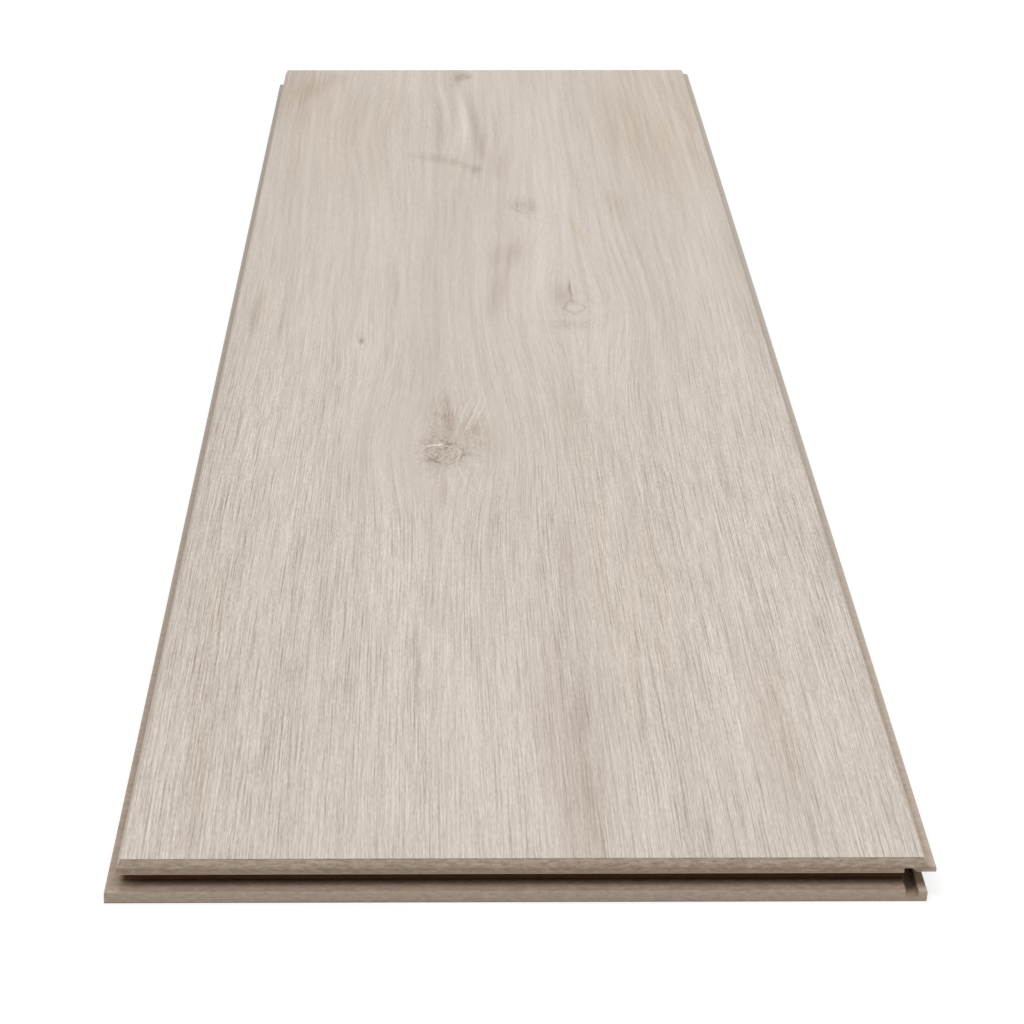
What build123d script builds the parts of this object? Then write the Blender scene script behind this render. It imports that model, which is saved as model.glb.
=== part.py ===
from build123d import *
import os

# Laminate floor plank with milled joint edges, lying flat with its decor face up.
# Millimetres. X runs across the plank, Y along it and Z up. The origin is on the underside, at
# the centre of the area that one laid plank covers. The near end (-Y) and the left edge (-X)
# have a groove with a longer lower lip, the right edge (+X) and the far end (+Y) have a tongue.

# Area that the plank covers once laid, from closing plane to closing plane, and its thickness
cover_width = 192.0
cover_length = 1285.0
thickness = 9.0

# Slanted bevel round the decor face, ending at the closing plane
bevel_width = 1.0
bevel_drop = 2.05

# Groove of the left edge and the near end
upper_lip = 3.8
lower_lip = 2.7
side_groove_depth = 3.0
end_groove_depth = 5.5
side_lip_reach = 2.6
end_lip_reach = 5.0
mouth_round = 1.0
groove_round = 0.5
edge_round = 0.25

# Thin tongue of the right edge
tongue_reach = 1.9
tongue_thickness = 1.25

# Slot cut in under that tongue, and the rib that closes it at the bottom
slot_setback = 2.7
slot_width = 3.0
slot_roof = 2.4
slot_floor = 1.2
slot_round = 1.0
rib_setback = 0.5
rib_step = 0.3
rib_taper = 0.3

# Room between the far tongue and the groove of the next plank
joint_clearance = 0.1

# Levels above the underside
groove_top = thickness - upper_lip
bevel_foot = thickness - bevel_drop
tongue_bottom = bevel_foot - tongue_thickness
slot_top = thickness - slot_roof
rib_top = lower_lip - rib_step

# Roundings are held by the walls that they run between
groove_height = groove_top - lower_lip
groove_corner = min(groove_round, 0.4 * groove_height)
mouth_corner = min(mouth_round, 0.8 * (bevel_foot - groove_top))
slot_corner = min(slot_round, 0.45 * slot_width, 0.8 * (rib_top - slot_floor))
tip_corner = min(edge_round, 0.4 * tongue_thickness)


def groove_edge(closing, groove_depth, lip_reach):
    """Corners (across, up, radius) of an edge that faces the negative side, from the top down."""
    return [
        (closing + bevel_width, thickness, 0),
        (closing, bevel_foot, edge_round),
        (closing, groove_top, mouth_corner),
        (closing + groove_depth, groove_top, groove_corner),
        (closing + groove_depth, lower_lip, groove_corner),
        (closing - lip_reach, lower_lip, edge_round),
        (closing - lip_reach, 0, edge_round),
    ]


def slotted_tongue_edge(closing):
    """Corners of the right edge from the bottom up: rib, slot with a slanted catch, thin tongue."""
    slot_outer = closing - slot_setback
    slot_inner = slot_outer - slot_width
    catch = slot_top - tongue_bottom
    return [
        (closing - rib_setback - rib_taper, 0, edge_round),
        (closing - rib_setback, rib_top, edge_round),
        (slot_outer, rib_top, edge_round),
        (slot_outer, slot_floor, slot_corner),
        (slot_inner, slot_floor, slot_corner),
        (slot_inner, slot_top, edge_round),
        (slot_outer - catch, slot_top, 0),
        (slot_outer, tongue_bottom, 0),
        (closing + tongue_reach, tongue_bottom, tip_corner),
        (closing + tongue_reach, bevel_foot, tip_corner),
        (closing, bevel_foot, 0),
        (closing - bevel_width, thickness, 0),
    ]


def mating_tongue_edge(closing):
    """Corners of the far end from the bottom up: a tongue that fills the near end's groove."""
    seat = closing - end_lip_reach - joint_clearance
    tip = closing + end_groove_depth - joint_clearance
    tongue_low = lower_lip + joint_clearance
    tongue_high = groove_top - joint_clearance
    return [
        (seat, 0, 0),
        (seat, tongue_low, 0),
        (tip, tongue_low, groove_corner),
        (tip, tongue_high, groove_corner),
        (closing, tongue_high, 0),
        (closing, bevel_foot, edge_round),
        (closing - bevel_width, thickness, 0),
    ]


def section(corners):
    """Closed face through corners given as (across, up, radius)."""
    points = [(across, up) for across, up, _ in corners]
    radii = [radius for _, _, radius in corners]
    return make_face(FilletPolyline(*points, radius=radii, close=True))


# The long edges are milled over the whole length and the ends over the whole width,
# so the plank is what the two profiles have in common
half_width = cover_width / 2
half_length = cover_length / 2
across_section = section(
    groove_edge(-half_width, side_groove_depth, side_lip_reach) + slotted_tongue_edge(half_width)
)
along_section = section(
    groove_edge(-half_length, end_groove_depth, end_lip_reach) + mating_tongue_edge(half_length)
)
long_pass = extrude(Plane.XZ * across_section, amount=cover_length, both=True)
end_pass = extrude(Plane.YZ * along_section, amount=cover_width, both=True)
plank = long_pass & end_pass

os.makedirs("parts", exist_ok=True)
export_step(plank, "parts/plank.step")
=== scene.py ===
import math

import bmesh
import bpy
from mathutils import Matrix, Vector


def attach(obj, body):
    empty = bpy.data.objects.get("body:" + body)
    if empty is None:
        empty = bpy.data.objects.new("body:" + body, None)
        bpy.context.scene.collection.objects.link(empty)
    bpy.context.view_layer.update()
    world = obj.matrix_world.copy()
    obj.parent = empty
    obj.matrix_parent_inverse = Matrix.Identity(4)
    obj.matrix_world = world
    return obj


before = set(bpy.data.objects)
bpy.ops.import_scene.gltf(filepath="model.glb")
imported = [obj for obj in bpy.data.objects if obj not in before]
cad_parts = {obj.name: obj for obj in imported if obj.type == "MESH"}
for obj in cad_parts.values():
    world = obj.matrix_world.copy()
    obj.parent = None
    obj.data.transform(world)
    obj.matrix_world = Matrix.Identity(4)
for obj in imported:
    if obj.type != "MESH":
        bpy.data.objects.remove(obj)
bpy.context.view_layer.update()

# Sizes of this scene are in metres, and the patterns of the print are in millimetres
MM = 0.001
PER_MM = 1000.0


# Corners of the flat decor face, read from the plank

def face_corners(plank):
    """Lowest and highest corner of the plank's flat top."""
    top = max(vertex.co.z for vertex in plank.data.vertices)
    face = [vertex.co for vertex in plank.data.vertices if top - vertex.co.z < 0.01 * MM]
    low = Vector((min(co.x for co in face), min(co.y for co in face), top))
    high = Vector((max(co.x for co in face), max(co.y for co in face), top))
    return low, high


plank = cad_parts["plank"]
face_low, face_high = face_corners(plank)


# Node trees: short ways to add the nodes that the patterns use

SHADER = "ShaderNodeTree"
GEOMETRY = "GeometryNodeTree"
NUMBER = "NodeSocketFloat"
WHOLE = "NodeSocketInt"
VECTOR = "NodeSocketVector"
SHAPE = "NodeSocketGeometry"


def colour(red, green, blue):
    """Linear RGBA of a colour that is written as it looks on screen, 0 to 255."""
    def linear(value):
        share = value / 255.0
        return share / 12.92 if share <= 0.04045 else ((share + 0.055) / 1.055) ** 2.4
    return (linear(red), linear(green), linear(blue), 1.0)


WHITE = colour(255, 255, 255)


class Tree:
    """A shader or geometry node tree that nodes are added to and linked in."""

    def __init__(self, tree):
        self.tree = tree

    def add(self, kind, inputs=(), **settings):
        node = self.tree.nodes.new(kind)
        for name, value in settings.items():
            setattr(node, name, value)
        for key, value in dict(inputs).items():
            self.feed(node.inputs[key], value)
        return node

    def feed(self, socket, value):
        if isinstance(value, bpy.types.NodeSocket):
            self.tree.links.new(value, socket)
        else:
            socket.default_value = value

    def math(self, operation, *values, clamp=False):
        inputs = dict(enumerate(values))
        return self.add("ShaderNodeMath", inputs, operation=operation, use_clamp=clamp).outputs[0]

    def vector(self, operation, *values, output="Vector"):
        inputs = dict(enumerate(values))
        return self.add("ShaderNodeVectorMath", inputs, operation=operation).outputs[output]

    def split(self, vector):
        return self.add("ShaderNodeSeparateXYZ", {0: vector}).outputs

    def join(self, x, y, z=0.0):
        return self.add("ShaderNodeCombineXYZ", {0: x, 1: y, 2: z}).outputs[0]

    def remap(self, value, start, end, low=0.0, high=1.0, smooth=False):
        kind = "SMOOTHSTEP" if smooth else "LINEAR"
        inputs = {"Value": value, "From Min": start, "From Max": end, "To Min": low, "To Max": high}
        return self.add("ShaderNodeMapRange", inputs, interpolation_type=kind).outputs[0]

    def between(self, value, low, high, soft=0.1):
        """1 from low to high, fading to 0 outside."""
        rise = self.remap(value, low - soft, low)
        return self.math("MULTIPLY", rise, self.remap(value, high + soft, high))

    def texture(self, point, detail=2.0, roughness=0.5, dimensions="3D", output="Fac"):
        """Noise from 0 to 1 at a point that is already scaled."""
        inputs = {"Vector": point, "Scale": 1.0, "Detail": detail, "Roughness": roughness}
        return self.add("ShaderNodeTexNoise", inputs, noise_dimensions=dimensions).outputs[output]

    def noise(self, point, across, along, seed, detail=2.0, roughness=0.5, turn=0.0):
        """Noise from 0 to 1 whose grains are about across by along millimetres.

        A turn of the scaled pattern, in radians, keeps the ends of the grains from lining up.
        """
        scale = (1.0 / across, 1.0 / along, 0.0)
        scaled = self.vector("MULTIPLY_ADD", point, scale, (seed, 3.7 * seed, 0.0))
        if turn:
            inputs = {"Vector": scaled, "Angle": turn}
            scaled = self.add("ShaderNodeVectorRotate", inputs, rotation_type="Z_AXIS").outputs[0]
        return self.texture(scaled, detail, roughness, "2D")

    def mix(self, factor, first, second, blend="MIX"):
        node = self.add("ShaderNodeMix", {0: factor}, data_type="RGBA", blend_type=blend)
        self.feed(node.inputs[6], first)
        self.feed(node.inputs[7], second)
        return node.outputs[2]

    def group(self, group, inputs):
        kind = "ShaderNodeGroup" if self.tree.bl_idname == SHADER else "GeometryNodeGroup"
        node = self.tree.nodes.new(kind)
        node.node_tree = group
        for key, value in inputs.items():
            self.feed(node.inputs[key], value)
        return node.outputs


def new_group(name, tree_type, inputs, outputs):
    """Empty node group with named sockets: its tree, what comes in, the node that takes the results."""
    group = bpy.data.node_groups.new(name, tree_type)
    for socket, kind in inputs:
        group.interface.new_socket(socket, in_out="INPUT", socket_type=kind)
    for socket, kind in outputs:
        group.interface.new_socket(socket, in_out="OUTPUT", socket_type=kind)
    tree = Tree(group)
    return tree, tree.add("NodeGroupInput").outputs, tree.add("NodeGroupOutput")


# The print: knots and marks of the oak, in millimetres from the plank's centre

# Knots that the grain flows round: centre, reach across and along, how far the grain is pushed
FLOW = (
    ((-20.8, -194.0), (20.0, 80.0), 0.52),
    ((28.6, 42.0), (25.0, 105.0), 0.54),
    ((14.2, 252.0), (8.0, 42.0), 0.50),
    ((-48.2, -20.0), (6.0, 32.0), 0.45),
    ((-10.0, 616.0), (12.0, 58.0), 0.50),
    ((-32.0, 455.0), (32.0, 125.0), 0.34),
)

# Places where the streaks of the grain stand out: centre, reach across and along, how much
FANS = (
    ((46.0, 150.0), (30.0, 150.0), 0.26),
    ((-13.0, 480.0), (19.0, 150.0), 0.14),
)

# Arches of the grain, with broad bands: centre, reach across and along, how much
ARCHES = (
    ((-13.0, 480.0), (22.0, 150.0), 0.80),
)

# Places where the fine lines fade: centre, reach across and along, how much
CALMS = (
    ((-26.0, -180.0), (42.0, 150.0), 0.75),
    ((29.0, 38.0), (24.0, 80.0), 0.45),
    ((72.0, -590.0), (36.0, 140.0), 0.18),
)

# Eyes of the knots: centre, half width and half length, strength of outline, core, arcs and rays
EYES = (
    ((-18.6, -203.0), (6.2, 15.0), (0.25, 0.06, 0.72, 0.20)),
    ((-18.4, -152.0), (3.0, 46.0), (0.0, 0.05, 0.36, 0.0)),
    ((-16.0, -195.0), (5.0, 40.0), (0.0, 0.0, 0.0, 0.22)),
    ((-15.0, -194.0), (5.2, 44.0), (0.0, 0.0, 0.0, -0.28)),
    ((28.6, 40.5), (4.1, 10.5), (0.34, 0.0, 0.0, 0.0)),
    ((28.6, 40.5), (3.7, 7.0), (0.34, -0.12, 0.0, 0.0)),
    ((28.8, 9.0), (8.0, 8.0), (0.0, 0.0, 0.42, 0.0)),
    ((13.5, 255.0), (4.2, 13.0), (0.10, 0.08, 0.46, 0.0)),
    ((-10.0, 619.0), (4.5, 14.0), (0.10, 0.45, 0.35, 0.0)),
)

# Single fibres, most of them at the knots: centre, half width and half length, lean, strength
# (darker above 0 and paler below)
STROKES = (
    ((-21.7, -192.3), (3.9, 2.4), 0.0, -1.3),
    ((-17.2, -193.4), (2.6, 1.6), 0.0, -0.5),
    ((-9.4, -144.0), (0.6, 46.0), 0.105, -0.52),
    ((-6.4, -138.0), (0.5, 36.0), 0.100, -0.36),
    ((-12.8, -146.0), (0.5, 38.0), 0.085, -0.36),
    ((-3.4, -140.0), (0.5, 30.0), 0.110, -0.26),
    ((-13.5, -232.0), (0.7, 17.0), -0.12, -0.40),
    ((-14.0, -207.0), (0.6, 17.0), 0.10, -0.40),
    ((-10.9, -152.0), (0.7, 36.0), 0.10, 0.36),
    ((-14.8, -144.0), (0.7, 40.0), 0.07, 0.34),
    ((-7.8, -158.0), (0.9, 28.0), 0.11, 0.30),
    ((-8.4, -170.0), (2.2, 16.0), 0.10, 0.20),
    ((-25.5, -187.0), (4.0, 6.0), 0.0, 0.20),
    ((-23.0, -215.0), (4.5, 8.0), 0.0, 0.22),
    ((28.0, 78.0), (0.8, 26.0), -0.02, 0.80),
    ((28.2, 54.0), (1.8, 3.5), 0.0, 0.40),
    ((28.8, 27.0), (1.6, 3.0), 0.0, 0.35),
    ((-48.6, -22.0), (2.0, 8.0), 0.0, 0.42),
    ((-50.4, -27.0), (1.7, 9.0), 0.0, -0.30),
    ((-86.5, -150.0), (0.5, 66.0), 0.0, 0.50),
    ((-89.5, -195.0), (0.4, 44.0), 0.0, 0.45),
    ((-93.2, -130.0), (0.4, 74.0), 0.0, 0.40),
    ((-59.3, -125.0), (0.4, 64.0), 0.0, 0.35),
    ((-52.5, -170.0), (0.4, 64.0), 0.0, 0.30),
)

# Tints that a stain multiplies the print by
BROWN = colour(224, 211, 197)
ROSE = colour(222, 208, 205)
TAN = colour(240, 229, 213)
SMOKE = colour(218, 212, 205)
PALE = colour(270, 269, 267)

# Stains: centre, reach across and along, lean, strength, tint
STAINS = (
    ((-13.0, 620.0), (4.0, 50.0), 0.03, 0.45, SMOKE),
    ((-92.0, 600.0), (36.0, 180.0), 0.0, 0.48, BROWN),
    ((78.0, 500.0), (60.0, 330.0), 0.0, 0.44, TAN),
    ((-64.0, 460.0), (40.0, 270.0), 0.0, 0.28, TAN),
    ((-92.0, 250.0), (46.0, 520.0), 0.0, 0.20, SMOKE),
    ((33.0, -360.0), (14.0, 220.0), -0.02, 0.34, PALE),
    ((94.0, 60.0), (11.0, 230.0), 0.0, 0.35, SMOKE),
    ((-82.0, 581.0), (11.0, 46.0), 0.05, 0.32, BROWN),
    ((-70.0, 612.0), (8.0, 34.0), 0.0, 0.28, BROWN),
    ((-12.0, 363.0), (7.5, 26.0), -0.42, 0.42, SMOKE),
    ((-25.0, 380.0), (12.0, 24.0), -0.40, 0.40, SMOKE),
    ((-6.0, 347.0), (4.0, 18.0), 0.0, 0.60, ROSE),
    ((-2.5, 408.0), (2.6, 54.0), 0.02, 0.46, ROSE),
    ((5.5, 362.0), (4.2, 58.0), 0.04, 0.36, ROSE),
    ((12.0, 262.0), (9.0, 30.0), 0.0, 0.35, ROSE),
    ((50.0, 261.0), (6.0, 52.0), -0.05, 0.40, TAN),
    ((33.0, 205.0), (4.0, 46.0), -0.08, 0.40, TAN),
    ((5.0, 150.0), (9.0, 44.0), 0.05, 0.46, ROSE),
    ((1.0, 75.0), (5.0, 85.0), 0.06, 0.38, ROSE),
    ((28.2, 74.0), (2.0, 32.0), 0.0, 0.40, SMOKE),
    ((25.0, 66.0), (6.0, 34.0), 0.0, 0.50, ROSE),
    ((28.5, 8.0), (9.0, 16.0), 0.0, 0.16, SMOKE),
    ((-37.5, 75.0), (1.6, 120.0), 0.0, 0.52, SMOKE),
    ((-87.0, 37.0), (3.0, 60.0), 0.0, 0.45, BROWN),
    ((-78.0, 20.0), (3.0, 60.0), 0.0, 0.30, BROWN),
    ((-48.2, -20.0), (1.8, 9.0), 0.0, 1.0, BROWN),
    ((-39.0, -42.0), (1.4, 22.0), 0.0, 0.40, SMOKE),
    ((-18.2, -146.0), (3.6, 50.0), -0.02, 0.40, SMOKE),
    ((-19.0, -160.0), (10.0, 48.0), -0.05, 0.38, ROSE),
    ((-7.0, -178.0), (11.0, 50.0), -0.10, 0.35, BROWN),
    ((-19.0, -203.0), (12.0, 38.0), 0.0, 0.32, ROSE),
    ((-19.0, -255.0), (3.2, 40.0), 0.02, 0.32, ROSE),
    ((17.0, -340.0), (4.0, 60.0), 0.0, 0.40, ROSE),
    ((14.0, -545.0), (15.0, 170.0), -0.02, 0.27, ROSE),
    ((17.0, -600.0), (5.0, 60.0), 0.0, 0.28, BROWN),
    ((16.0, -514.0), (4.0, 40.0), 0.0, 0.30, ROSE),
    ((66.0, -520.0), (8.0, 150.0), 0.0, 0.22, BROWN),
    ((80.0, -455.0), (4.0, 40.0), 0.0, 0.28, BROWN),
    ((-26.0, -466.0), (0.9, 70.0), 0.0, 0.75, SMOKE),
    ((-64.0, -545.0), (0.9, 110.0), 0.0, 0.50, SMOKE),
)


def bend_group():
    """Grain pushed sideways round one knot."""
    tree, given, result = new_group(
        "Knot bend",
        GEOMETRY,
        (("Point", VECTOR), ("Centre", VECTOR), ("Reach", VECTOR), ("Push", NUMBER)),
        (("Shift", NUMBER),),
    )
    offset = tree.vector("SUBTRACT", given["Point"], given["Centre"])
    spread = tree.vector("DIVIDE", offset, given["Reach"])
    distance = tree.vector("DOT_PRODUCT", spread, spread, output="Value")
    nearness = tree.math("EXPONENT", tree.math("MULTIPLY", distance, -1.0))
    pushed = tree.math("MULTIPLY", tree.split(offset)[0], given["Push"])
    tree.feed(result.inputs["Shift"], tree.math("MULTIPLY", pushed, nearness))
    return tree.tree


def blot_group(name, tree_type):
    """Soft leaning blot, 1 in the middle and 0 at its reach."""
    tree, given, result = new_group(
        name,
        tree_type,
        (("Point", VECTOR), ("Centre", VECTOR), ("Reach", VECTOR), ("Lean", NUMBER)),
        (("Mask", NUMBER),),
    )
    across, along, _ = tree.split(tree.vector("SUBTRACT", given["Point"], given["Centre"]))
    straight = tree.math("SUBTRACT", across, tree.math("MULTIPLY", along, given["Lean"]))
    spread = tree.vector("DIVIDE", tree.join(straight, along), given["Reach"])
    distance = tree.vector("LENGTH", spread, output="Value")
    tree.feed(result.inputs["Mask"], tree.remap(distance, 1.0, 0.1, smooth=True))
    return tree.tree


def blot_mask(tree, blot, point, centre, reach, lean=0.0):
    """Mask of one blot at that centre."""
    inputs = {"Point": point, "Centre": (*centre, 0.0), "Reach": (*reach, 1.0), "Lean": lean}
    return tree.group(blot, inputs)["Mask"]


def eye_group():
    """Eye of a knot: its outline, its core, broken arcs about it and fibres that run out from it."""
    tree, given, result = new_group(
        "Knot eye",
        SHADER,
        (("Point", VECTOR), ("Wobble", VECTOR), ("Centre", VECTOR), ("Reach", VECTOR), ("Seed", NUMBER)),
        (("Outline", NUMBER), ("Core", NUMBER), ("Arcs", NUMBER), ("Rays", NUMBER)),
    )
    offset = tree.vector("SUBTRACT", given["Point"], given["Centre"])
    offset = tree.vector("DIVIDE", offset, given["Reach"])
    offset = tree.vector("MULTIPLY_ADD", given["Wobble"], (0.6, 0.6, 0.0), offset)
    across, along, _ = tree.split(offset)
    lens = tree.math("POWER", tree.math("ABSOLUTE", along), 1.4)
    lens = tree.math("MULTIPLY_ADD", across, across, lens)
    gap = tree.math("ABSOLUTE", tree.math("SUBTRACT", lens, 1.0))
    tree.feed(result.inputs["Outline"], tree.remap(gap, 0.26, 0.0, smooth=True))
    tree.feed(result.inputs["Core"], tree.remap(lens, 1.1, 0.2, smooth=True))
    distance = tree.vector("LENGTH", offset, output="Value")
    way = tree.vector("NORMALIZE", offset)
    for name, turns, rings, start, full, end, over in (
        ("Arcs", 1.3, 3.6, 0.0, 0.1, 1.8, 0.6),
        ("Rays", 9.0, 0.7, 0.5, 1.2, 3.0, 1.0),
    ):
        turned = tree.vector("MULTIPLY", way, (turns, turns, 0.0))
        depth = tree.join(0.0, 0.0, tree.math("MULTIPLY_ADD", distance, rings, given["Seed"]))
        field = tree.texture(tree.vector("ADD", turned, depth), 1.0)
        ridge = tree.math("ABSOLUTE", tree.math("SUBTRACT", field, 0.5))
        lines = tree.remap(ridge, 0.06, 0.01, smooth=True)
        rise = tree.remap(distance, start, full, smooth=True)
        fade = tree.math("MULTIPLY", rise, tree.remap(distance, end, over, smooth=True))
        tree.feed(result.inputs[name], tree.math("MULTIPLY", lines, fade))
    return tree.tree


# Materials

def new_material(name):
    material = bpy.data.materials.new(name)
    material.use_nodes = True
    material.node_tree.nodes.clear()
    tree = Tree(material.node_tree)
    output = tree.add("ShaderNodeOutputMaterial")
    return material, tree, output


def finish_surface(tree, output, base, roughness, height, relief, specular):
    """Principled surface with a bump of that relief in metres."""
    bump = tree.add("ShaderNodeBump", {"Strength": 1.0, "Distance": relief, "Height": height})
    inputs = {
        "Base Color": base,
        "Roughness": roughness,
        "Specular IOR Level": specular,
        "Normal": bump.outputs[0],
    }
    surface = tree.add("ShaderNodeBsdfPrincipled", inputs)
    tree.feed(output.inputs["Surface"], surface.outputs[0])


def object_point(tree, height=PER_MM):
    """Point of the surface in millimetres."""
    place = tree.add("ShaderNodeTexCoord").outputs["Object"]
    return tree.vector("MULTIPLY", place, (PER_MM, PER_MM, height))


# What the geometry nodes of the decor face store on it for its material
GRAIN = "grain_place"
TONE = "wash_tone"
TINT = "stain_tint"
CROWD = "line_crowd"
STREAK = "streak_strength"

# Colours of the print: its dark and pale wood, the shade of a knot and the shine of a pale fibre
DARK_OAK = colour(167, 154, 142)
PALE_OAK = colour(227, 217, 207)
KNOT_SHADE = colour(196, 182, 171)
PALE_FIBRE = colour(232, 223, 213)

# Fine lines of the print: weight of its long lines, short fibres, beads and dark pores, and their mean
LINE_WEIGHT = 0.74
FIBRE_WEIGHT = 0.78
BEAD_WEIGHT = 0.48
PORE_WEIGHT = 0.18
FINE_MEAN = 0.99


def oak_print():
    """Whitewashed oak print under a matt brushed overlay."""
    material, tree, output = new_material("oak_print")
    point = object_point(tree, height=0.0)
    grain = tree.add("ShaderNodeAttribute", attribute_name=GRAIN).outputs["Vector"]
    wash = tree.add("ShaderNodeAttribute", attribute_name=TONE).outputs["Fac"]
    tint = tree.add("ShaderNodeAttribute", attribute_name=TINT).outputs["Color"]
    crowd = tree.add("ShaderNodeAttribute", attribute_name=CROWD).outputs["Fac"]
    streak = tree.add("ShaderNodeAttribute", attribute_name=STREAK).outputs["Fac"]

    streaks = tree.noise(grain, 2.4, 170.0, 6.1, detail=1.0, turn=0.5)
    mottle = tree.noise(grain, 1.2, 11.0, 8.2, detail=1.0, turn=0.7)
    lines = tree.noise(grain, 0.46, 80.0, 11.5, detail=1.0, turn=0.6)
    fibres = tree.noise(grain, 0.36, 20.0, 14.9, detail=1.0, turn=0.4)
    beads = tree.noise(grain, 0.36, 4.5, 17.3, detail=0.0, turn=0.8)
    pores = tree.remap(lines, 0.38, 0.26)
    fine = tree.math("MULTIPLY_ADD", lines, LINE_WEIGHT, tree.math("MULTIPLY", fibres, FIBRE_WEIGHT))
    fine = tree.math("MULTIPLY_ADD", beads, BEAD_WEIGHT, fine)
    fine = tree.math("SUBTRACT", fine, tree.math("MULTIPLY_ADD", pores, PORE_WEIGHT, FINE_MEAN))
    fine = tree.math("MULTIPLY", fine, crowd)
    tone = tree.math("MULTIPLY_ADD", tree.math("SUBTRACT", streaks, 0.5), streak, wash)
    patchy = tree.remap(crowd, 0.25, 0.9, 0.22, 0.04)
    tone = tree.math("MULTIPLY_ADD", tree.math("SUBTRACT", mottle, 0.5), patchy, tone)
    tone = tree.math("ADD", tone, fine)
    base = tree.mix(tone, DARK_OAK, PALE_OAK)
    base.node.clamp_factor = False
    base = tree.mix(1.0, base, tint, "MULTIPLY")

    eye = eye_group()
    wobble = tree.texture(tree.vector("MULTIPLY", point, (0.25, 0.06, 0.0)), 2.0, 0.6, "2D", "Color")
    wobble = tree.vector("SUBTRACT", wobble, (0.5, 0.5, 0.0))
    marks = 0.0
    for number, (centre, reach, weights) in enumerate(EYES):
        inputs = {
            "Point": point, "Wobble": wobble, "Centre": (*centre, 0.0), "Reach": (*reach, 1.0),
            "Seed": 5.3 * number,
        }
        parts = tree.group(eye, inputs)
        for name, weight in zip(("Outline", "Core", "Arcs", "Rays"), weights):
            if weight:
                marks = tree.math("MULTIPLY_ADD", parts[name], weight, marks)
    stroke = blot_group("Fibre stroke", SHADER)
    wavy = tree.vector("MULTIPLY_ADD", wobble, (1.6, 6.0, 0.0), point)
    for centre, reach, lean, weight in STROKES:
        mask = blot_mask(tree, stroke, wavy, centre, reach, lean)
        marks = tree.math("MULTIPLY_ADD", mask, weight, marks)
    base = tree.mix(tree.remap(marks, 0.0, 1.0), base, KNOT_SHADE, "MULTIPLY")
    base = tree.mix(tree.remap(marks, 0.0, -1.0), base, PALE_FIBRE)

    roughness = tree.remap(lines, 0.3, 0.7, 0.7, 0.55)
    finish_surface(tree, output, base, roughness, fine, relief=0.05 * MM, specular=0.15)
    return material


# Levels in the board: the sheets above and below, foot of the bevel, bottom and top of the grooves
DECOR_SHEET = 0.3
BACKING_SHEET = 0.3
BEVEL_FOOT = 6.95
GROOVE_LOW = 2.7
GROOVE_HIGH = 5.2

# The slot under the right tongue: from and to across, from and to in height
SLOT_ACROSS = (90.3, 93.3)
SLOT_LEVEL = (1.2, 6.6)

# Colours of the board and the tints that darken it, with the painted shade of the grooves and the slot and
# the painted highlight of the arris
DARK_FLAKE = colour(160, 142, 126)
PALE_FLAKE = colour(198, 181, 165)
TONGUE = colour(204, 193, 179)
FAR_BOARD = colour(187, 181, 173)
BEVEL = colour(202, 190, 177)
PAINTED_ARRIS_LIGHT = colour(228, 209, 191)
BACKING = colour(154, 147, 140)
PAINTED_GROOVE_SHADE = colour(165, 132, 106)
PAINTED_SLOT_SHADE = colour(166, 134, 120)
RESIN_SHADE = colour(236, 231, 226)


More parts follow.
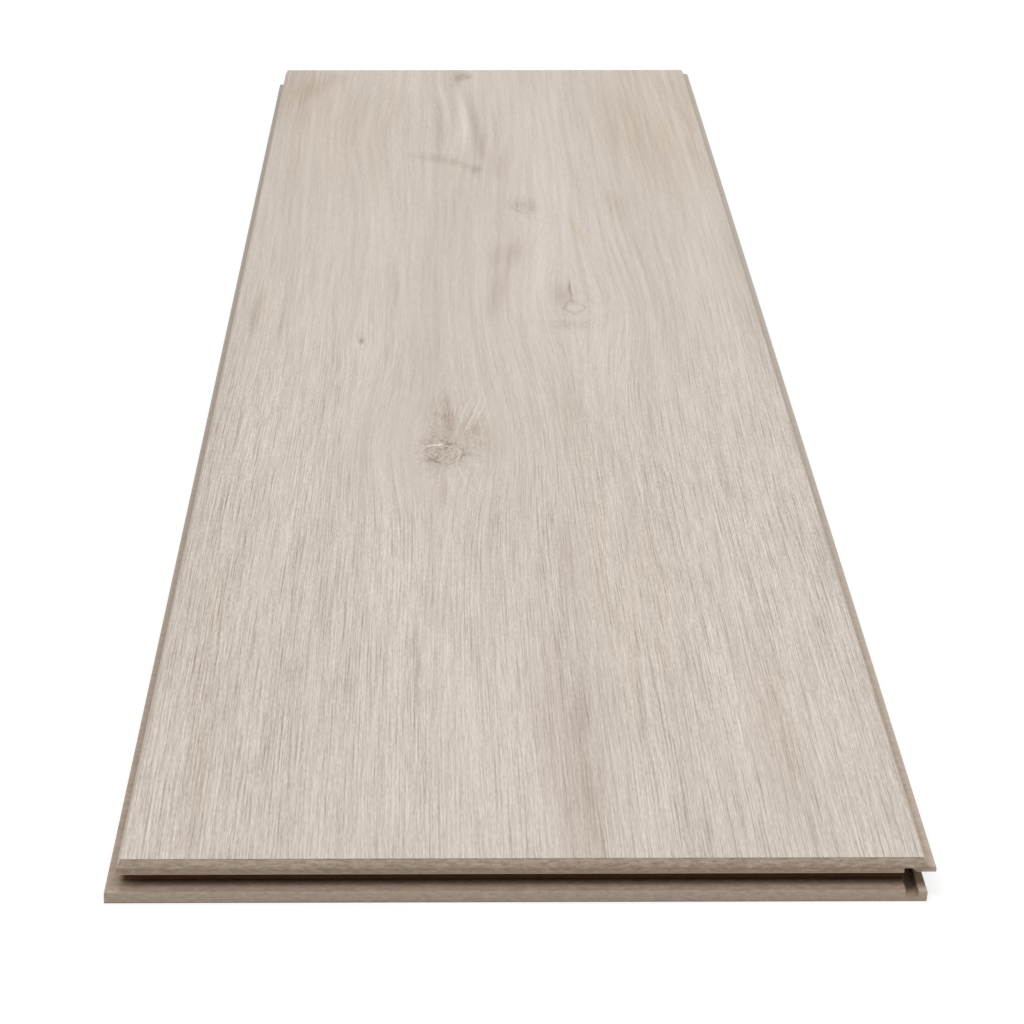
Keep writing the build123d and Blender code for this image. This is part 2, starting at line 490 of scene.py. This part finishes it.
def fibreboard():
    """Milled fibreboard of the edges, with the sheet of the print above and the backing sheet below."""
    material, tree, output = new_material("fibreboard")
    point = object_point(tree)
    across, along, level = tree.split(tree.vector("ABSOLUTE", point))
    top = face_high.z * PER_MM
    half_width = face_high.x * PER_MM
    half_length = face_high.y * PER_MM

    # Flakes, strongest near the top, on board that greys towards the far end
    flakes = tree.texture(tree.vector("MULTIPLY", point, (0.42, 0.42, 1.7)), 5.0, 0.75)
    contrast = tree.remap(level, GROOVE_LOW, top, 2.4, 4.2)
    # Painted light by height: the board is lighter towards the top, darkest low on the upper lip's face,
    # and lighter again on the rounded edge just above the groove mouth, where light catches it; the lower
    # lip and ledge take one level
    painted_top_light = tree.remap(level, GROOVE_HIGH + 1.2, top - 0.2, 0.14, 0.70)
    painted_mouth_light = tree.remap(level, GROOVE_HIGH + 1.0, GROOVE_HIGH + 0.1, 0.0, 0.52)
    painted_round_light = tree.between(level, GROOVE_HIGH + 0.1, GROOVE_HIGH + 0.7, 0.6)
    shade = tree.math("MULTIPLY_ADD", painted_round_light, 0.4, tree.math("MAXIMUM", painted_top_light, painted_mouth_light))
    spread = tree.math("MULTIPLY_ADD", tree.math("SUBTRACT", flakes, 0.5), contrast, shade, clamp=True)
    base = tree.mix(spread, DARK_FLAKE, PALE_FLAKE)
    across_right, lengthwise, _ = tree.split(point)
    tongue = tree.remap(across_right, half_width + 1.0, half_width + 2.4, 0.0, 0.55)
    base = tree.mix(tongue, base, TONGUE)
    greyed = tree.remap(lengthwise, -640.0, 150.0, 0.0, 0.75)
    base = tree.mix(greyed, base, FAR_BOARD)

    # Print that runs over the bevels of the long sides
    outside = tree.remap(across, half_width, half_width + 0.1)
    sloped = tree.math("MULTIPLY", outside, tree.remap(level, BEVEL_FOOT, BEVEL_FOOT + 0.1))
    sloped = tree.math("MULTIPLY", sloped, tree.remap(along, half_length + 0.1, half_length))
    base = tree.mix(sloped, base, BEVEL)

    # Painted shade inside the grooves, strongest deep in, with a weaker painted shade on the near ledge
    # that grows towards its front; and painted shade in the slot, darkest at its top
    ledge = tree.remap(along, half_length - 1.0, half_length + 4.5, 0.14, 0.44)
    ledge = tree.math("MULTIPLY", ledge, tree.remap(along, half_length + 6.0, half_length + 5.7))
    depth = tree.math("ADD", ledge, tree.remap(along, half_length - 1.5, half_length - 4.0, 0.0, 0.85))
    depth = tree.math("MULTIPLY", depth, tree.remap(across, half_width + 0.6, half_width - 0.6))
    depth = tree.math("MULTIPLY", depth, tree.between(level, GROOVE_LOW, GROOVE_HIGH))
    base = tree.mix(depth, base, PAINTED_GROOVE_SHADE, "MULTIPLY")
    # Painted shade in the slot under the right tongue, darkest at its top
    slot = tree.between(across_right, *SLOT_ACROSS)
    slot = tree.math("MULTIPLY", slot, tree.between(level, *SLOT_LEVEL))
    behind = tree.remap(along, half_length + 0.9, half_length + 0.7)
    below = tree.remap(level, GROOVE_HIGH + 0.2, GROOVE_HIGH)
    slot = tree.math("MULTIPLY", slot, tree.math("MAXIMUM", behind, below))
    slot = tree.math("MULTIPLY", slot, tree.remap(level, SLOT_LEVEL[0], GROOVE_HIGH, 0.4, 1.0))
    base = tree.mix(slot, base, PAINTED_SLOT_SHADE, "MULTIPLY")

    # Painted highlight on the arris under the upper lip of the near end, where its rounded edge catches
    # light
    painted_arris_light = tree.between(level, GROOVE_HIGH + 0.05, GROOVE_HIGH + 0.35)
    painted_arris_light = tree.math("MULTIPLY", painted_arris_light, tree.remap(along, half_length + 0.1, half_length + 0.4))
    base = tree.mix(painted_arris_light, base, PAINTED_ARRIS_LIGHT)

    # Dark edge of the decor sheet and the plain backing sheet
    resin = tree.remap(level, top - DECOR_SHEET, top - 0.5 * DECOR_SHEET)
    base = tree.mix(resin, base, RESIN_SHADE, "MULTIPLY")
    backing = tree.remap(level, BACKING_SHEET, 0.5 * BACKING_SHEET)
    base = tree.mix(backing, base, BACKING)
    height = tree.math("MULTIPLY", flakes, tree.math("SUBTRACT", 1.0, backing))
    finish_surface(tree, output, base, 0.85, height, relief=0.08 * MM, specular=0.1)
    return material


# Pieces

# Decor sheet: points across and along, height of the brushed relief and thickness under it
COLUMNS = 400
ROWS = 160
RELIEF = 0.05 * MM
SKIN = 0.03 * MM

# Sway of the whole grain, in millimetres
SWAY = 7.0

# Wash: weight of its broad bands and of its streaks, and what they are added to
BAND_WEIGHT = 0.28
STREAK_WEIGHT = 0.25
WASH_BASE = 0.335

# Fine lines: how far along they start to fade and are faded, how much is left, how far the sides lag
FADE_START = -350.0
FADE_END = 130.0
FADED = 0.22
SIDE_LAG = 120.0


def grain_flow(tree, point):
    """Place of a point in the grain: across and along the fibres, in millimetres."""
    bend = bend_group()
    across, along, _ = tree.split(point)
    for centre, reach, push in FLOW:
        inputs = {"Point": point, "Centre": (*centre, 0.0), "Reach": (*reach, 1.0), "Push": push}
        across = tree.math("SUBTRACT", across, tree.group(bend, inputs)["Shift"])
    sway = tree.noise(point, 90.0, 700.0, 1.3, detail=0.0)
    across = tree.math("ADD", across, tree.math("MULTIPLY_ADD", sway, SWAY, -0.5 * SWAY))
    return tree.join(across, along)


def wash_tone(tree, blot, point, grain):
    """Pale and dark bands of the wash."""
    bands = tree.noise(grain, 26.0, 900.0, 2.2, detail=1.0)
    streaks = tree.noise(grain, 6.0, 700.0, 4.4)
    tone = tree.math("MULTIPLY_ADD", bands, BAND_WEIGHT, tree.math("MULTIPLY", streaks, STREAK_WEIGHT))
    arched = tree.math("SUBTRACT", tree.noise(grain, 4.6, 260.0, 3.5, detail=0.0), 0.5)
    for centre, reach, gain in ARCHES:
        strength = tree.math("MULTIPLY", blot_mask(tree, blot, point, centre, reach), gain)
        tone = tree.math("MULTIPLY_ADD", arched, strength, tone)
    return tree.math("ADD", tone, WASH_BASE)


def stain_tint(tree, blot, point, grain):
    """Colour that the warm streaks and the stains multiply the print by."""
    warmth = tree.remap(tree.noise(grain, 13.0, 420.0, 7.7), 0.45, 0.72)
    tint = tree.mix(tree.math("MULTIPLY", warmth, 0.20), WHITE, TAN)
    fibres = tree.remap(tree.noise(grain, 1.3, 90.0, 6.1, detail=1.0), 0.3, 0.7, 0.55, 1.35)
    scaled = tree.vector("MULTIPLY", point, (0.14, 0.02, 0.0))
    uneven = tree.texture(scaled, 2.0, 0.5, "2D", "Color")
    shift = tree.vector("MULTIPLY_ADD", uneven, (2.6, 16.0, 0.0), (-1.3, -8.0, 0.0))
    ragged = tree.vector("ADD", point, shift)
    for centre, reach, lean, strength, shade in STAINS:
        mask = blot_mask(tree, blot, ragged, centre, reach, lean)
        mask = tree.math("MULTIPLY", mask, strength)
        tint = tree.mix(tree.math("MULTIPLY", mask, fibres, clamp=True), tint, shade, "MULTIPLY")
    return tint


def line_crowd(tree, blot, point, grain):
    """How strongly the fine lines show: most near and at the sides, least round the knots."""
    across, along, _ = tree.split(point)
    bands = tree.remap(tree.noise(grain, 12.0, 600.0, 9.3), 0.38, 0.62, 0.88, 1.06)
    sides = tree.remap(tree.math("ABSOLUTE", across), 15.0, 75.0)
    crowd = tree.math("MULTIPLY", bands, tree.remap(sides, 0.0, 1.0, 0.88, 1.06))
    fading = tree.math("MULTIPLY_ADD", sides, -SIDE_LAG, along)
    crowd = tree.math("MULTIPLY", crowd, tree.remap(fading, FADE_END, FADE_START, FADED, 1.0, smooth=True))
    for centre, reach, fade in CALMS:
        mask = blot_mask(tree, blot, point, centre, reach)
        kept = tree.remap(mask, 0.0, 1.0, 1.0, 1.0 - fade)
        crowd = tree.math("MULTIPLY", crowd, kept)
    return crowd


def streak_strength(tree, blot, point):
    """How strongly the streaks between the fine lines show."""
    strength = tree.remap(tree.split(point)[1], 40.0, -240.0, 0.32, 0.20)
    for centre, reach, gain in FANS:
        mask = blot_mask(tree, blot, point, centre, reach)
        strength = tree.math("MULTIPLY_ADD", mask, gain, strength)
    return strength


def brushed_height(tree, grain):
    """Brushed relief of the overlay: 0 at the bottom of a groove and 1 on the ridges."""
    broad = tree.remap(tree.noise(grain, 2.6, 210.0, 5.1, detail=1.0), 0.3, 0.7, high=0.5)
    narrow = tree.remap(tree.noise(grain, 1.1, 120.0, 8.6, detail=1.0), 0.3, 0.7, high=0.5)
    return tree.math("ADD", broad, narrow)


def decor_tree(material):
    """Brushed decor face, with the flow, the wash and the stains of its print stored on it."""
    tree, given, result = new_group(
        "Decor face",
        GEOMETRY,
        (
            ("Width", NUMBER), ("Length", NUMBER), ("Columns", WHOLE), ("Rows", WHOLE),
            ("Centre", VECTOR), ("Relief", NUMBER),
        ),
        (("Geometry", SHAPE),),
    )
    grid = tree.add("GeometryNodeMeshGrid", {
        "Size X": given["Width"], "Size Y": given["Length"],
        "Vertices X": given["Columns"], "Vertices Y": given["Rows"],
    })
    inputs = {"Geometry": grid.outputs[0], "Translation": given["Centre"]}
    sheet = tree.add("GeometryNodeTransform", inputs).outputs[0]
    place = tree.add("GeometryNodeInputPosition").outputs[0]
    point = tree.vector("MULTIPLY", place, (PER_MM, PER_MM, 0.0))
    grain = grain_flow(tree, point)
    blot = blot_group("Stain", GEOMETRY)
    for kind, name, value in (
        ("FLOAT_VECTOR", GRAIN, grain),
        ("FLOAT", TONE, wash_tone(tree, blot, point, grain)),
        ("FLOAT_COLOR", TINT, stain_tint(tree, blot, point, grain)),
        ("FLOAT", CROWD, line_crowd(tree, blot, point, grain)),
        ("FLOAT", STREAK, streak_strength(tree, blot, point)),
    ):
        inputs = {"Geometry": sheet, "Name": name, "Value": value}
        store = tree.add("GeometryNodeStoreNamedAttribute", inputs, data_type=kind, domain="POINT")
        sheet = store.outputs[0]
    height = tree.math("MULTIPLY", brushed_height(tree, grain), given["Relief"])
    inputs = {"Geometry": sheet, "Offset": tree.join(0.0, 0.0, height)}
    sheet = tree.add("GeometryNodeSetPosition", inputs).outputs[0]
    sheet = tree.add("GeometryNodeRealizeInstances", {0: sheet}).outputs[0]
    sheet = tree.add("GeometryNodeSetMaterial", {"Geometry": sheet, "Material": material}).outputs[0]
    tree.feed(result.inputs["Geometry"], sheet)
    return tree.tree


def close_below(mesh, level):
    """Closes an open sheet with a skirt and a flat underside at that level."""
    work = bmesh.new()
    work.from_mesh(mesh)
    rim = [edge for edge in work.edges if edge.is_boundary]
    made = bmesh.ops.extrude_edge_only(work, edges=rim)["geom"]
    for item in made:
        if isinstance(item, bmesh.types.BMVert):
            item.co.z = level
    foot = [item for item in made if isinstance(item, bmesh.types.BMEdge)]
    bmesh.ops.edgeloop_fill(work, edges=foot)
    bmesh.ops.recalc_face_normals(work, faces=work.faces)
    work.to_mesh(mesh)
    work.free()


def decor_face(material):
    """Thin embossed sheet that the plank carries on its flat top."""
    holder = bpy.data.objects.new("decor_face", bpy.data.meshes.new("decor_face"))
    bpy.context.scene.collection.objects.link(holder)
    shape = holder.modifiers.new("decor", "NODES")
    shape.node_group = decor_tree(material)
    centre = (face_low + face_high) / 2
    values = {
        "Width": face_high.x - face_low.x,
        "Length": face_high.y - face_low.y,
        "Columns": COLUMNS,
        "Rows": ROWS,
        "Centre": (centre.x, centre.y, centre.z + SKIN),
        "Relief": RELIEF,
    }
    for item in shape.node_group.interface.items_tree:
        if item.item_type == "SOCKET" and item.in_out == "INPUT":
            shape[item.identifier] = values[item.name]
    bpy.context.view_layer.update()
    made = holder.evaluated_get(bpy.context.evaluated_depsgraph_get())
    mesh = bpy.data.meshes.new_from_object(made)
    holder.modifiers.remove(shape)
    holder.data = mesh
    close_below(mesh, face_low.z)
    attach(holder, "root")
    return holder


oak = oak_print()
board = fibreboard()
plank.data.materials.clear()
plank.data.materials.append(board)
decor_face(oak)


# Floor, light and camera

def shown_rays(tree):
    """1 for the rays that show the background: straight ones, reflections and those through glass."""
    path = tree.add("ShaderNodeLightPath").outputs
    seen = tree.math("MAXIMUM", path["Is Camera Ray"], path["Is Transmission Ray"])
    return tree.math("MAXIMUM", seen, path["Is Glossy Ray"])


# Floor: how far it reaches, in metres, and the glow that makes it show white
FLOOR_REACH = 30.0
FLOOR_GLOW = 0.72


def floor():
    """Plain pale floor that shows white and keeps the plank's shadow."""
    mesh = bpy.data.meshes.new("floor")
    reach = FLOOR_REACH
    corners = [(-reach, -reach, 0.0), (reach, -reach, 0.0), (reach, reach, 0.0), (-reach, reach, 0.0)]
    mesh.from_pydata(corners, [], [(0, 1, 2, 3)])
    piece = bpy.data.objects.new("floor", mesh)
    bpy.context.scene.collection.objects.link(piece)
    material, tree, output = new_material("floor")
    seen = shown_rays(tree)
    plain = tree.add("ShaderNodeBsdfDiffuse", {"Color": colour(243, 243, 243)})
    bright = tree.add("ShaderNodeBsdfDiffuse", {"Color": colour(160, 160, 160)})
    glow = tree.add("ShaderNodeEmission", {"Color": WHITE, "Strength": FLOOR_GLOW})
    shown = tree.add("ShaderNodeAddShader", {0: bright.outputs[0], 1: glow.outputs[0]})
    choice = tree.add("ShaderNodeMixShader", {0: seen, 1: plain.outputs[0], 2: shown.outputs[0]})
    tree.feed(output.inputs["Surface"], choice.outputs[0])
    mesh.materials.append(material)


# Strength of the sky and of the lamp, width of the lamp and its lean to the back in degrees
SKY = 0.52
LAMP = 1.43
LAMP_SPREAD = 80.0
LAMP_BACK = 15.0


def studio_light():
    """Even sky and one large soft lamp above the plank, a little behind it."""
    world = bpy.data.worlds.new("studio")
    world.use_nodes = True
    world.node_tree.nodes.clear()
    tree = Tree(world.node_tree)
    seen = shown_rays(tree)
    lit = tree.add("ShaderNodeBackground", {"Color": WHITE, "Strength": SKY})
    white = tree.add("ShaderNodeBackground", {"Color": WHITE, "Strength": 1.0})
    choice = tree.add("ShaderNodeMixShader", {0: seen, 1: lit.outputs[0], 2: white.outputs[0]})
    output = tree.add("ShaderNodeOutputWorld")
    tree.feed(output.inputs["Surface"], choice.outputs[0])
    bpy.context.scene.world = world
    lamp = bpy.data.lights.new("soft_lamp", "SUN")
    lamp.energy = LAMP
    lamp.angle = math.radians(LAMP_SPREAD)
    holder = bpy.data.objects.new("soft_lamp", lamp)
    holder.rotation_euler = (math.radians(-LAMP_BACK), 0.0, 0.0)
    holder.location = (0.0, 1.0, 2.5)
    bpy.context.scene.collection.objects.link(holder)


# Camera: place in metres, turn, dip and roll in degrees, focal length in millimetres
CAMERA_PLACE = Vector((-0.01685, -1.78972, 0.36437))
CAMERA_TURN = 0.713
CAMERA_DIP = 13.292
CAMERA_ROLL = 0.060
LENS = 178.41


def camera():
    """Camera of the photograph: almost straight along the plank, with a long lens."""
    data = bpy.data.cameras.new("camera")
    data.lens = LENS
    data.sensor_width = 36.0
    data.clip_end = 200.0
    holder = bpy.data.objects.new("camera", data)
    turn = Matrix.Rotation(math.radians(-CAMERA_TURN), 4, "Z")
    dip = Matrix.Rotation(math.radians(90.0 - CAMERA_DIP), 4, "X")
    roll = Matrix.Rotation(math.radians(CAMERA_ROLL), 4, "Z")
    holder.matrix_world = Matrix.Translation(CAMERA_PLACE) @ turn @ dip @ roll
    bpy.context.scene.collection.objects.link(holder)
    bpy.context.scene.camera = holder


floor()
studio_light()
camera()
bpy.context.scene.view_settings.view_transform = "Standard"
